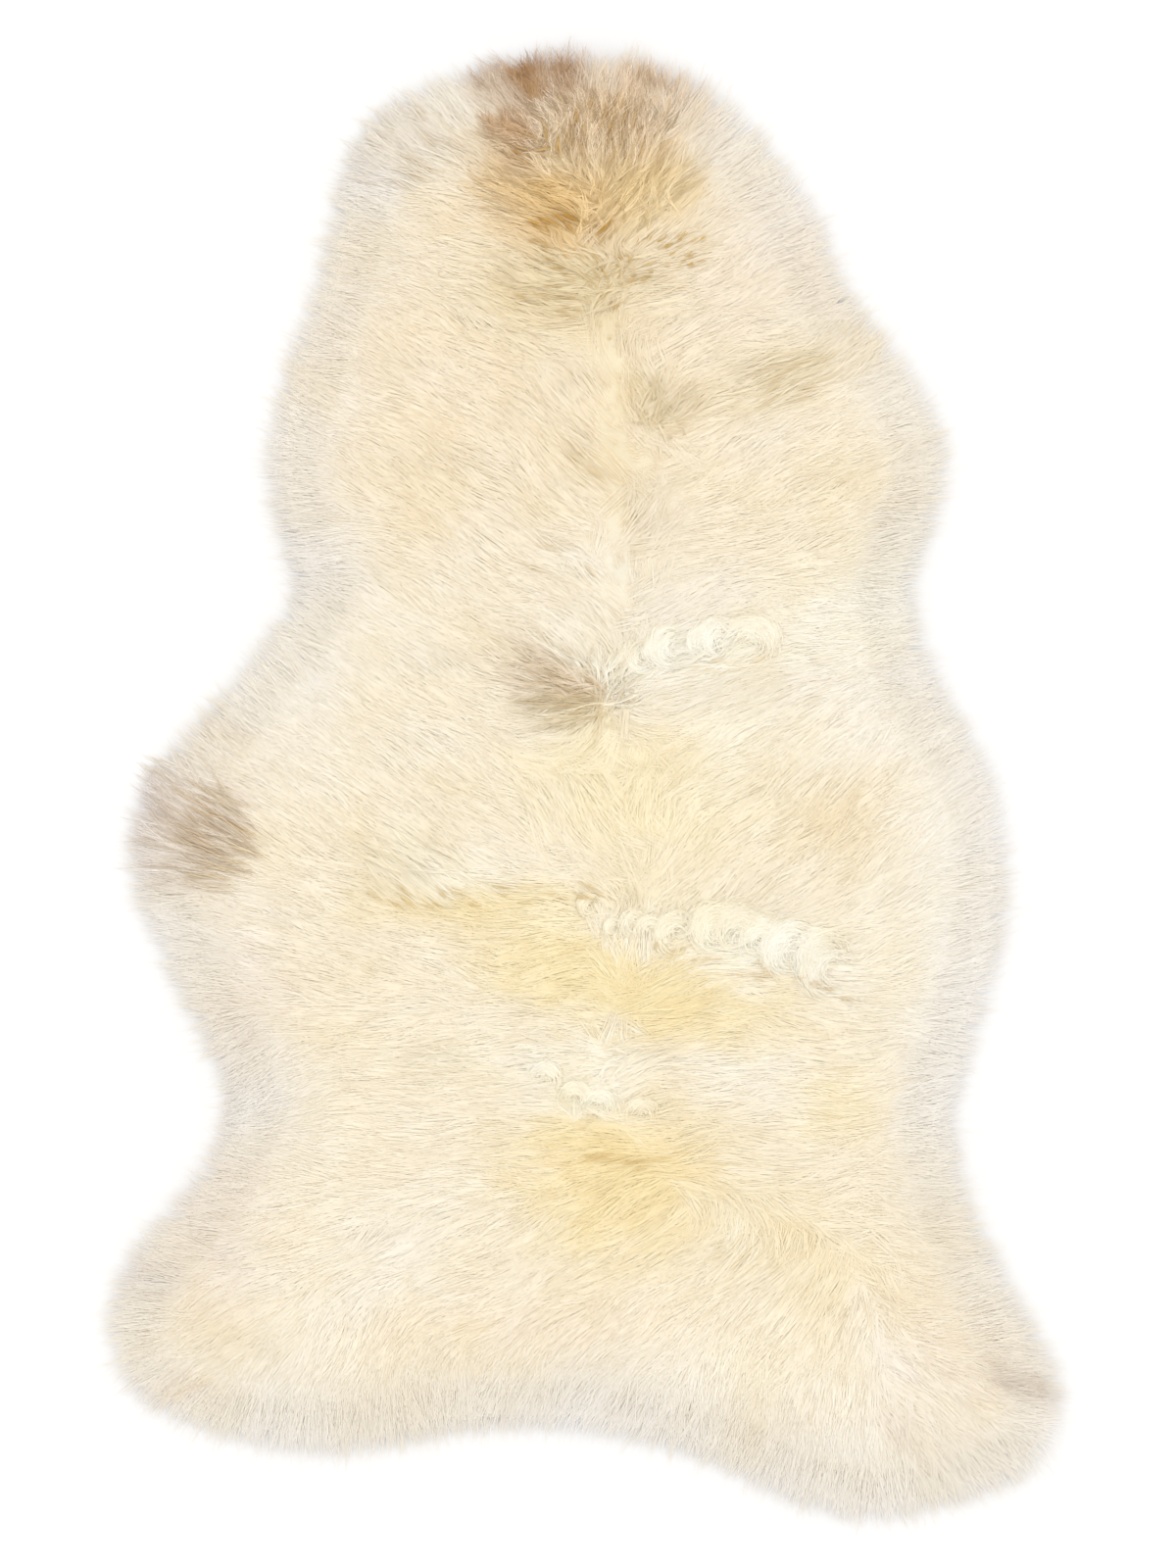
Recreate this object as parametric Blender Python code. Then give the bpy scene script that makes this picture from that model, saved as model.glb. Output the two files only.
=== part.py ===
"""Sheepskin rug lying flat, wool side up.

One closed solid: a thin flat skin, a lumpy fleece that overhangs it, and separate locks around the rim.
Lengths are metres unless a name says MM. The neck points along +Y, the left flank lies at -X, and the
underside of the skin is z = 0. The origin is the middle of the underside's bounding rectangle.
"""

import math
import random

import bmesh
import bpy
from mathutils import Vector, noise
from mathutils.geometry import delaunay_2d_cdt

MM = 0.001

# Driving sizes
SKIN_THICKNESS = 2.0 * MM
OVERHANG = 4.0 * MM
OVERHANG_UNDERSIDE = 3.0 * MM
RIM_HEIGHT = 15.0 * MM
CROWN_HEIGHT = 41.0 * MM
CROWN_ROUNDING = 24.0 * MM
LOCK_COUNT = 264
LATTICE_PITCH = 14.5 * MM
LATTICE_MARGIN = 9.0 * MM
SHARP_ANGLE = math.radians(50)
SEED = 11

# Sections across the pelt, neck to tail: the skin's edge on each side, how far the wool leans towards
# the neck there, and how far the locks reach past the overhang.
# name, distance along the spine, left edge, right edge (mm), lean (degrees), reach (mm)
SECTIONS_MM = (
    ("neck", 437, -134, 104, 24, 26),
    ("upper shoulder", 386, -149, 141, 18, 26),
    ("lower shoulder", 333, -163, 161, 16, 26),
    ("elbow", 278, -182, 206, 16, 26),
    ("girth", 226, -193, 228, 14, 27),
    ("behind girth", 176, -180, 213, 13, 26),
    ("waist", 128, -171, 203, 14, 25),
    ("front flank", 57, -219, 225, 22, 26),
    ("flank", 0, -270, 259, 28, 27),
    ("widest flank", -50, -290, 270, 28, 27),
    ("rear flank", -118, -267, 265, 20, 27),
    ("stifle", -180, -236, 247, 13, 26),
    ("loin", -238, -219, 232, 8, 25),
    ("hip", -308, -257, 247, 5, 26),
    ("haunch", -352, -296, 267, 0, 26),
    ("hock", -392, -306, 287, -6, 28),
)

# The neck end from left to right and the tail end from right to left.
# name, across, along (mm), lean (degrees), reach (mm)
NECK_END_MM = (
    ("neck corner", -104, 465, 10, 27),
    ("neck tuft", -24, 491, 0, 29),
    ("neck crown", 28, 490, 0, 26),
    ("neck shoulder", 70, 472, 10, 26),
)
TAIL_END_MM = (
    ("right hind leg", 311, -437, -6, 27),
    ("right hind corner", 300, -464, 0, 27),
    ("right rump", 257, -481, 0, 26),
    ("right lobe", 207, -492, 0, 26),
    ("lobe notch", 158, -480, 0, 26),
    ("right of tail", 92, -449, 0, 26),
    ("tail", 5, -430, 0, 25),
    ("left of tail", -72, -427, 0, 25),
    ("left rump", -170, -445, 0, 26),
    ("left hind corner", -246, -435, 0, 26),
    ("left hind leg", -293, -414, 0, 31),
)

# Ridges and hollows of the fleece, each along a straight line.
# name, start across, start along, end across, end along, half width, rise (mm)
FOLDS_MM = (
    ("collar ridge", 20, 70, 140, 104, 24, 7),
    ("collar curl", 128, 96, 132, 98, 18, 5),
    ("loin ridge", 30, -142, 186, -92, 24, 7),
    ("loin curl", 165, -104, 175, -98, 18, 4),
    ("tail curl", -22, -210, 34, -234, 18, 6),
    ("left sweep", -140, -40, -76, -72, 22, 5),
    ("spine hollow", -24, 58, 12, 70, 38, -10),
    ("left flank hollow", -278, -50, -248, 6, 26, -7),
    ("shoulder parting", 4, 229, 44, 182, 15, -7),
    ("waist parting", 44, 182, 38, 138, 15, -6),
    ("neck parting", -84, 436, 20, 442, 17, -8),
    ("neck tuft ridge", -66, 496, 0, 500, 20, 6),
    ("elbow crease", 140, 308, 194, 270, 16, -6),
    ("shoulder hollow", 50, 262, 56, 266, 20, -5),
    ("rear parting", 96, -312, 114, -334, 20, -6),
    ("rump parting", 168, -356, 184, -380, 18, -6),
    ("hind leg hollow", 214, -452, 238, -460, 20, -7),
    ("hock hollow", 300, -418, 318, -432, 18, -5),
)

# Lumps of the fleece: locks lie across the spine, so lumps are longer across than along it.
# size across, size along, rise (mm)
LUMPS_MM = (
    (60, 32, 7.0),
    (29, 15, 6.0),
)

# A rim lock, from its root to its tip: share of its reach, of the width it has there, of its root's height
LOCK_STATIONS = (
    (0.45, 0.72, 0.62),
    (1.00, 0.16, 0.14),
)
LOCK_REACH_SPREAD = (0.80, 1.14)
LOCK_SWAY = 0.12
CURVE_STEPS = 24

WOOL_COLOUR = (0.90, 0.80, 0.62, 1.0)
SKIN_COLOUR = (0.72, 0.58, 0.42, 1.0)


def clear_scene():
    """Remove whatever the scene holds."""
    for old in list(bpy.data.objects):
        bpy.data.objects.remove(old, do_unlink=True)


def make_material(name, colour, roughness):
    material = bpy.data.materials.new(name)
    material.use_nodes = True
    shader = material.node_tree.nodes["Principled BSDF"]
    shader.inputs["Base Color"].default_value = colour
    shader.inputs["Roughness"].default_value = roughness
    shader.inputs["Metallic"].default_value = 0.0
    material.diffuse_color = colour
    return material


def outline_stations():
    """The skin's outline, clockwise from the neck, as (across, along, lean, reach)."""
    neck = [Vector((x * MM, y * MM, lean, reach * MM)) for _, x, y, lean, reach in NECK_END_MM]
    right = [Vector((x * MM, y * MM, lean, reach * MM)) for _, y, _, x, lean, reach in SECTIONS_MM]
    tail = [Vector((x * MM, y * MM, lean, reach * MM)) for _, x, y, lean, reach in TAIL_END_MM]
    left = [Vector((x * MM, y * MM, lean, reach * MM)) for _, y, x, _, lean, reach in SECTIONS_MM]
    return neck + right + tail + left[::-1]


def closed_curve(stations):
    """A smooth closed curve through the stations."""
    curve = []
    count = len(stations)
    for i in range(count):
        a, b, c, d = (stations[(i + k) % count] for k in (-1, 0, 1, 2))
        for step in range(CURVE_STEPS):
            t = step / CURVE_STEPS
            bend = (2 * a - 5 * b + 4 * c - d) * t * t + (3 * b - a - 3 * c + d) * t**3
            curve.append(b + 0.5 * ((c - a) * t + bend))
    return curve


def even_spacing(curve, count):
    """The closed curve as so many points at equal steps along it."""
    walked = [0.0]
    for a, b in zip(curve, curve[1:] + curve[:1]):
        walked.append(walked[-1] + (b.xy - a.xy).length)
    points = []
    piece = 0
    for i in range(count):
        target = walked[-1] * i / count
        while walked[piece + 1] < target:
            piece += 1
        share = (target - walked[piece]) / (walked[piece + 1] - walked[piece])
        points.append(curve[piece].lerp(curve[(piece + 1) % len(curve)], share))
    return points


def outward_normals(points):
    """The level direction out of a clockwise outline at each of its points."""
    normals = []
    count = len(points)
    for i in range(count):
        along = (points[(i + 1) % count] - points[i - 1]).xy.normalized()
        normals.append(Vector((-along.y, along.x)))
    return normals


def fold_rise(place):
    """How far the named ridges and hollows lift or sink the fleece at a place."""
    rise = 0.0
    for _, x1, y1, x2, y2, half_width, height in FOLDS_MM:
        start = Vector((x1, y1)) * MM
        line = Vector((x2, y2)) * MM - start
        share = min(max((place - start).dot(line) / line.length_squared, 0.0), 1.0)
        distance = (place - start - share * line).length / (half_width * MM)
        rise += height * MM * math.exp(-distance * distance)
    return rise


def lump_rise(place):
    """The uneven lumps of wool at a place."""
    rise = 0.0
    for layer, (across, along, height) in enumerate(LUMPS_MM):
        spot = Vector((place.x / (across * MM), place.y / (along * MM), SEED + layer))
        rise += height * MM * noise.noise(spot)
    return rise


def fleece_height(place, rim_distance):
    """The fleece's height: rounded over at the rim, lumpy on top."""
    cover = 1.0 - math.exp(-rim_distance / CROWN_ROUNDING)
    return RIM_HEIGHT + cover * (CROWN_HEIGHT - RIM_HEIGHT + fold_rise(place) + lump_rise(place))


def distance_to_ring(place, ring):
    """How far inside the ring a place is, or less than nothing outside it."""
    nearest = math.inf
    inside = False
    for a, b in zip(ring, ring[1:] + ring[:1]):
        side = b - a
        share = min(max((place - a).dot(side) / side.length_squared, 0.0), 1.0)
        nearest = min(nearest, (place - a - share * side).length)
        if (a.y > place.y) != (b.y > place.y) and place.x < a.x + side.x * (place.y - a.y) / side.y:
            inside = not inside
    return nearest if inside else -nearest


def lattice_places(ring):
    """Staggered places inside the ring, with how far each is from it."""
    row_pitch = LATTICE_PITCH * math.sqrt(0.75)
    left, right = min(p.x for p in ring), max(p.x for p in ring)
    bottom, top = min(p.y for p in ring), max(p.y for p in ring)
    places = []
    for row in range(int((top - bottom) / row_pitch) + 1):
        offset = 0.5 * LATTICE_PITCH * (row % 2)
        for column in range(int((right - left) / LATTICE_PITCH) + 1):
            place = Vector((left + offset + column * LATTICE_PITCH, bottom + row * row_pitch))
            distance = distance_to_ring(place, ring)
            if distance > LATTICE_MARGIN:
                places.append((place, distance))
    return places


def add_crown(mesh, rim_verts):
    """The fleece's top, from its rim to its crown."""
    ring = [vert.co.xy for vert in rim_verts]
    inner = lattice_places(ring)
    flat = ring + [place for place, _ in inner]
    edges = [(i, (i + 1) % len(ring)) for i in range(len(ring))]
    places, _, faces, sources, _, _ = delaunay_2d_cdt(flat, edges, [], 1, 1e-7)
    verts = []
    for place, source in zip(places, sources):
        if source[0] < len(ring):
            verts.append(rim_verts[source[0]])
        else:
            height = fleece_height(place, inner[source[0] - len(ring)][1])
            verts.append(mesh.verts.new((place.x, place.y, height)))
    for face in faces:
        mesh.faces.new([verts[i] for i in face])


def add_ring(mesh, points, normals, outset, height):
    """A level closed ring of vertices, set out from the outline."""
    places = [point.xy + normal * outset for point, normal in zip(points, normals)]
    return [mesh.verts.new((place.x, place.y, height)) for place in places]


def join_rings(mesh, lower, upper):
    """A band of faces between two rings of as many vertices."""
    count = len(lower)
    for i in range(count):
        after = (i + 1) % count
        mesh.faces.new((lower[i], upper[i], upper[after], lower[after]))


def lock_headings(points, normals):
    """The level direction of the wool at each point: outwards, leaning towards the neck on the flanks."""
    headings = []
    for point, normal in zip(points, normals):
        lean = math.tan(math.radians(point.z)) * abs(normal.x)
        headings.append((normal + Vector((0.0, lean))).normalized())
    return headings


def add_lock(mesh, root, headings, reaches, sway):
    """One tapering lock, from its root in the rim down to the floor, lying level there."""
    height = root[1].co.z
    behind = root
    for share, width_share, height_share in LOCK_STATIONS:
        near = root[0].co.xy + headings[0] * reaches[0] * share
        far = root[3].co.xy + headings[1] * reaches[1] * share
        middle = near.lerp(far, 0.5 + sway * math.sin(math.pi * share))
        half_width = 0.5 * width_share * (far - near)
        near, far = middle - half_width, middle + half_width
        ring = [
            mesh.verts.new((near.x, near.y, 0.0)),
            mesh.verts.new((near.x, near.y, height * height_share)),
            mesh.verts.new((far.x, far.y, height * height_share)),
            mesh.verts.new((far.x, far.y, 0.0)),
        ]
        join_rings(mesh, behind, ring)
        behind = ring
    mesh.faces.new(behind)


def add_locks(mesh, lower, upper, points, normals):
    """A lock of wool from each step of the rim, side by side and joined only at their roots."""
    draws = random.Random(SEED)
    headings = lock_headings(points, normals)
    count = len(points)
    for i in range(count):
        after = (i + 1) % count
        root = (lower[i], upper[i], upper[after], lower[after])
        stretch = draws.uniform(*LOCK_REACH_SPREAD)
        reaches = (points[i].w * stretch, points[after].w * stretch)
        sway = draws.uniform(-LOCK_SWAY, LOCK_SWAY)
        add_lock(mesh, root, (headings[i], headings[after]), reaches, sway)


def centre_over_origin(mesh):
    """Move the mesh level, so that the middle of its bounding rectangle is the origin."""
    across = [vert.co.x for vert in mesh.verts]
    along = [vert.co.y for vert in mesh.verts]
    shift = Vector((min(across) + max(across), min(along) + max(along), 0.0)) * -0.5
    bmesh.ops.translate(mesh, verts=mesh.verts, vec=shift)


def make_sheepskin():
    """The whole pelt as one closed solid, its skin faces in a material of their own."""
    points = even_spacing(closed_curve(outline_stations()), LOCK_COUNT)
    normals = outward_normals(points)
    mesh = bmesh.new()
    underside = add_ring(mesh, points, normals, 0.0, 0.0)
    skin_edge = add_ring(mesh, points, normals, 0.0, SKIN_THICKNESS)
    lower = add_ring(mesh, points, normals, OVERHANG, OVERHANG_UNDERSIDE)
    upper = add_ring(mesh, points, normals, OVERHANG, RIM_HEIGHT)
    mesh.faces.new(underside)
    join_rings(mesh, underside, skin_edge)
    skin_faces = list(mesh.faces)
    join_rings(mesh, skin_edge, lower)
    add_locks(mesh, lower, upper, points, normals)
    add_crown(mesh, upper)
    centre_over_origin(mesh)
    bmesh.ops.recalc_face_normals(mesh, faces=mesh.faces)
    for face in skin_faces:
        face.material_index = 1
    data = bpy.data.meshes.new("sheepskin")
    mesh.to_mesh(data)
    mesh.free()
    data.materials.append(make_material("wool", WOOL_COLOUR, 0.95))
    data.materials.append(make_material("tanned skin", SKIN_COLOUR, 0.85))
    data.shade_smooth()
    data.set_sharp_from_angle(angle=SHARP_ANGLE)
    sheepskin = bpy.data.objects.new("sheepskin", data)
    bpy.context.scene.collection.objects.link(sheepskin)
    return sheepskin


clear_scene()
make_sheepskin()
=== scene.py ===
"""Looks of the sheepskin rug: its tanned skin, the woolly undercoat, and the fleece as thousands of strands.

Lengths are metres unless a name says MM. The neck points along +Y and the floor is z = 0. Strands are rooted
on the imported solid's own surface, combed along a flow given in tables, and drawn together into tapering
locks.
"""

import math
from collections import namedtuple

import bpy
import numpy as np
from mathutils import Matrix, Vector
from mathutils.bvhtree import BVHTree
from mathutils.geometry import delaunay_2d_cdt
from mathutils.kdtree import KDTree


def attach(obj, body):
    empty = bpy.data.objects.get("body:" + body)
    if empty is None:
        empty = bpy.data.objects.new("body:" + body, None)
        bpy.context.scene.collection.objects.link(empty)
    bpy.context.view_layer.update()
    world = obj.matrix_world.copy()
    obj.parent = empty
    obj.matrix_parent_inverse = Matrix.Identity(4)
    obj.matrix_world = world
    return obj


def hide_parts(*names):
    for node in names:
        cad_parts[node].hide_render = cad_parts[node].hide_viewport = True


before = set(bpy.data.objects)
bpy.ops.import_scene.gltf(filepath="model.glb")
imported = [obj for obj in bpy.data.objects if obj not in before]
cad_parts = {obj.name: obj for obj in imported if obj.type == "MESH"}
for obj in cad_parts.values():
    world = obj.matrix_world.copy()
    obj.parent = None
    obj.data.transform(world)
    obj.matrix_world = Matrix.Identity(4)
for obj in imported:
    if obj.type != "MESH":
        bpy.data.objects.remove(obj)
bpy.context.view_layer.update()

MM = 0.001
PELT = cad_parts["sheepskin"]
draws = np.random.RandomState(7)

# How far maps, roots and strands reach from the middle, across and along
MAP_REACH = (0.42, 0.60)
ROOTS_REACH = (0.36, 0.55)
FURTHEST = (0.353, 0.543)
MAP_PITCH = 4.0 * MM
# How often each map is softened, which makes its lumps larger
BED_SOFTENING = 2
DIVIDE_SOFTENING = 8
DRIFT_SOFTENING = 16
UNEVEN_SOFTENING = 6
MOTTLE_SOFTENINGS = (80, 16)
PHASE_SOFTENING = 30

# The bed that strands are rooted in
COAT_DEPTH = 4.5 * MM
EDGE_HEIGHT = 17.0 * MM
EDGE_FALL = 36.0 * MM
ROOT_DEPTH = 0.7 * MM

# The skin and the undercoat. Inner places keep a share of their pitch from the edge
LATTICE_MARGIN = 0.6
SKIN_THICKNESS = 2.0 * MM
SKIN_PITCH = 12.0 * MM
UNDERCOAT_FLOOR = SKIN_THICKNESS + 0.3 * MM
UNDERCOAT_LOWEST_TOP = SKIN_THICKNESS + 0.7 * MM
UNDERCOAT_PITCH = 5.0 * MM
UNDERCOAT_OVERHANG = 18.0 * MM
LEAST_OVERHANG = 2.0 * MM
UNDERCOAT_RISE = 0.7 * MM
UNDERCOAT_FADE = 12.0 * MM
# Places where the rim's wool is shorter. name, across, along, spread, cut (mm)
NOTCHES_MM = (
    ("crest", 0, 512, 80, 12),
    ("between the tufts", 15, 516, 17, 10),
    ("second tuft", 64, 510, 24, 7),
    ("right of the tufts", 92, 484, 22, 10),
)

# Which way the wool lies. It divides along the spine: left of the divide it points to -X and right of it
# to +X. It leans towards the neck, or towards the tail where a lean is less than nothing.
# name, along, divide (mm), lean on the left, lean on the right (degrees)
PARTING_MM = (
    ("crest", 520, 5, 35, 55),
    ("nape", 455, 2, 32, 48),
    ("withers", 400, 5, 16, 36),
    ("shoulder", 345, -5, 20, 26),
    ("elbow", 285, 35, 26, 24),
    ("girth", 205, 38, 18, 26),
    ("waist", 130, 38, 26, 14),
    ("front flank", 60, 30, 31, 20),
    ("flank", -20, 38, 28, 40),
    ("rear flank", -90, 35, 15, 32),
    ("stifle", -155, 40, 12, 4),
    ("loin", -215, 8, -4, 9),
    ("hip", -265, 40, -1, 6),
    ("haunch", -310, 70, -5, -2),
    ("thigh", -350, 190, -20, -4),
    ("hock", -390, 205, -35, -12),
    ("tail", -440, 210, -60, -35),
    ("below the tail", -520, 215, -75, -60),
)
DIVIDE_WIDTH = 24.0 * MM
DIVIDE_SWAY = 16.0 * MM
# Wool turns outwards from the first distance past the skin's edge to the second, up to this weight
TURN_OUT = (-20.0 * MM, 20.0 * MM)
TURN_OUT_WEIGHT = 0.9

# Places where the wool turns from that rule.
# name, across, along (mm), heading (degrees, 0 to +X and 90 to the neck), spread (mm)
TURNS_MM = (
    ("neck tuft", -22, 500, 106, 26),
    ("neck locks", 35, 475, 68, 30),
    ("neck whorl", -12, 452, 84, 16),
    ("beside the whorl", -50, 450, 125, 18),
    ("under the whorl", -35, 425, 170, 24),
    ("withers", -20, 340, 176, 26),
    ("behind the shoulder", -5, 255, 130, 34),
    ("ribs", -45, 215, 142, 30),
    ("hollow", -45, 68, 172, 22),
    ("under the hollow", -5, 38, 205, 20),
    ("belly swirl", -20, -20, 110, 24),
    ("left sweep", -112, -52, 133, 26),
    ("saddle", -30, -92, 184, 28),
    ("low saddle", -30, -135, 192, 28),
    ("loin curl", 30, -105, 105, 20),
    ("under the loin", 140, -160, -10, 30),
    ("left loin", -100, -205, 186, 50),
    ("left hip", -225, -215, 202, 30),
    ("right hip", 250, -295, -25, 26),
    ("left rump", -85, -335, 202, 40),
    ("rump", 20, -350, 220, 45),
    ("right rump", 110, -350, 232, 40),
    ("above the lobe", 165, -370, 245, 30),
    ("left leg", -290, -395, 213, 34),
    ("left skirt", -180, -410, 245, 34),
    ("middle skirt", -130, -430, 268, 40),
    ("tail skirt", -10, -430, 236, 40),
    ("right skirt", 110, -440, 262, 34),
    ("lobe", 195, -480, 280, 36),
    ("lobe corner", 240, -440, 312, 26),
    ("right leg", 290, -420, -22, 30),
)

# Places that the wool sprays out from.
# name, across, along, spread (mm)
SPRAYS_MM = (
    ("hollow", 20, 54, 34),
    ("grey spot", 48, 247, 20),
    ("loin start", 14, -102, 16),
    ("whorl", -30, 448, 12),
)
# How strongly turns and sprays pull, and how far the wool drifts besides
TURN_WEIGHT = 5.0
DRIFT_DEGREES = 7.0

# Colours of the wool, as 8-bit display values
CREAM = (244, 233, 209)
EDGE_CREAM = (239, 232, 221)
TAN = (229, 190, 122)
BROWN = (164, 116, 58)
OLIVE = (230, 212, 172)
YELLOW = (243, 223, 168)
PALE_YELLOW = (248, 234, 194)
IVORY = (252, 245, 223)
SHOULDER_CREAM = (244, 227, 196)

# Patches of colour, each laid over those before it.
# name, across, along, half length, half width (mm), turn (degrees), colour, strength, parting, wave (mm)
PATCHES_MM = (
    ("shoulders", -20, 290, 190, 120, 0, SHOULDER_CREAM, 0.85, 0.16, 0.8),
    ("rump", -20, -384, 120, 30, 0, (244, 228, 199), 0.70, 0.14, 0.8),
    ("left haunch", -262, -330, 40, 60, 0, (238, 223, 201), 0.70, 0.16, 0.8),
    ("left side", -238, -150, 34, 60, 0, (241, 227, 206), 0.60, 0.16, 0.8),
    ("right shoulder", 120, 370, 74, 54, -40, (239, 223, 196), 0.80, 0.14, 0.8),
    ("left girth", -150, 195, 70, 30, 0, (243, 228, 199), 0.50, 0.14, 0.8),
    ("left waist light", -150, 109, 55, 26, 10, (249, 240, 220), 0.60, 0.14, 0.8),
    ("right waist light", 190, 123, 60, 44, 0, (246, 236, 206), 0.60, 0.14, 0.8),
    ("centre band light", -20, -194, 118, 24, 0, (250, 241, 217), 0.80, 0.25, 1.0),
    ("right side light", 235, -114, 42, 92, 0, (246, 239, 220), 0.35, 0.14, 0.8),
    ("right rump light", 114, -412, 52, 30, 0, (249, 240, 216), 0.60, 0.14, 0.8),
    ("right haunch edge", 262, -410, 60, 44, -40, (239, 224, 198), 0.70, 0.16, 0.8),
    ("spine", 0, 240, 46, 90, 0, (240, 224, 188), 0.30, 0.14, 0.8),
    ("withers yellow", -14, 346, 70, 44, 0, (232, 212, 164), 0.80, 0.3, 0.8),
    ("neck tan", -24, 410, 58, 32, 0, TAN, 0.95, 0.4, 1.2),
    ("right of the neck", 46, 424, 34, 34, 0, (234, 204, 142), 0.90, 0.4, 1.2),
    ("under the crown", 20, 470, 58, 32, -4, (219, 187, 143), 0.90, 0.5, 1.8),
    ("second tuft", 46, 502, 34, 18, -8, (214, 183, 145), 0.90, 0.5, 1.4),
    ("under the whorl", -54, 456, 28, 22, -10, (200, 158, 112), 0.90, 0.5, 1.8),
    ("neck tuft", -39, 502, 36, 22, 12, BROWN, 1.00, 0.5, 1.2),
    ("left shoulder top", -130, 452, 40, 34, 25, (235, 226, 212), 0.80, 0.3, 0.8),
    ("grey spot", 51, 266, 26, 19, 0, OLIVE, 0.95, 0.3, 0.8),
    ("elbow streak", 150, 289, 66, 24, 22, (236, 218, 176), 0.80, 0.2, 0.8),
    ("behind the shoulder", 0, 224, 26, 8, -20, (232, 218, 190), 0.50, 0.2, 0.8),
    ("hollow rim", -30, 76, 46, 22, -28, (228, 210, 182), 0.50, 0.2, 1.0),
    ("hollow", -8, 64, 32, 17, -28, (226, 201, 166), 0.80, 0.3, 1.0),
    ("under the hollow", 4, 42, 26, 15, -8, (222, 202, 158), 0.80, 0.3, 1.0),
    ("under the collar", 100, 38, 40, 20, 0, IVORY, 0.50, 0.2, 1.2),
    ("belly yellow", 0, 4, 60, 24, -6, (246, 231, 188), 0.70, 0.14, 0.8),
    ("flank rim", -304, -30, 44, 24, 95, (228, 216, 206), 0.75, 0.2, 0.8),
    ("flank patch", -272, -35, 43, 30, 100, (219, 202, 184), 0.85, 0.3, 0.8),
    ("flank patch top", -262, 42, 14, 10, 0, (222, 208, 187), 0.60, 0.3, 0.8),
    ("saddle yellow", 48, -15, 84, 52, 0, PALE_YELLOW, 0.80, 0.12, 0.8),
    ("left saddle", -75, -86, 88, 18, 2, YELLOW, 0.85, 0.3, 0.8),
    ("under the saddle", -14, -124, 66, 34, -12, YELLOW, 0.90, 0.2, 0.8),
    ("loin yellow", 46, -150, 116, 29, -11, YELLOW, 1.00, 0.14, 0.8),
    ("tail yellow", 24, -284, 80, 56, 0, (243, 222, 165), 0.95, 0.2, 0.8),
    ("tail stem", -4, -245, 24, 28, 0, (245, 226, 174), 0.80, 0.2, 0.8),
    ("right loin", 183, -225, 30, 28, 0, PALE_YELLOW, 0.70, 0.2, 0.8),
    ("right haunch", 155, -333, 48, 28, -15, (246, 230, 190), 0.80, 0.2, 0.8),
    ("right flank", 183, -23, 34, 28, 0, (239, 222, 188), 0.80, 0.2, 0.8),
    ("right leg", 318, -428, 26, 14, -30, (212, 196, 174), 0.80, 0.4, 0.8),
    ("lobe spot", 228, -458, 16, 14, 0, (228, 211, 184), 0.60, 0.4, 0.8),
    ("left leg edge", -318, -350, 14, 24, 0, (220, 207, 190), 0.55, 0.3, 0.8),
    ("left leg tuft", -290, -436, 24, 12, -20, (236, 214, 176), 0.60, 0.3, 0.8),
    ("collar ridge", 76, 92, 70, 24, 6, IVORY, 0.85, 0.2, 1.2),
    ("loin ridge", 104, -110, 98, 22, -14, IVORY, 0.90, 0.2, 1.2),
    ("tail curl", 3, -221, 40, 15, -14, IVORY, 0.85, 0.2, 1.2),
    ("left sweep", -109, -56, 46, 20, -14, IVORY, 0.80, 0.2, 0.8),
    ("thigh tuft", 104, -318, 12, 18, 0, IVORY, 0.80, 0.2, 0.8),
    ("bright tuft", 21, 76, 9, 15, 20, IVORY, 1.00, 0.2, 0.8),
)
PATCH_FIRMNESS = 1.3
PATCH_UNEVENNESS = 5.0 * MM
PLAIN_PARTING = 0.08
PLAIN_WAVE = 0.8
# The rim's colour sets in from the first distance past the skin's edge to the second, and less in a patch
RIM_FADE = (-46.0 * MM, 36.0 * MM)
PATCH_COVER = 0.6
# How far each channel shifts from place to place (in a broad and a fine map) and from strand to strand (with
# its lock and by itself)
MOTTLE = (0.005, 0.014, 0.040)
MOTTLE_MIX = (0.8, 0.6)
WARMTH = (0.004, 0.009, 0.026)
WARMTH_MIX = (0.35, 0.9)
# What is left of each channel at a strand's foot, and in the undercoat: painted warm shade, standing in for
# the dim light that warms as it passes down between the strands
FOOT_PAINTED_SHADE = (0.985, 0.965, 0.91)
FOOT_SHARE = 0.4
UNDERCOAT_PAINTED_SHADE = (0.945, 0.95, 0.93)
# Light that passes between strands deepens their colour, so their own is paler than they look
ECHO = 0.80
PALEST_STRAND = 0.97
PALEST_BELOW = 0.95

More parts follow.
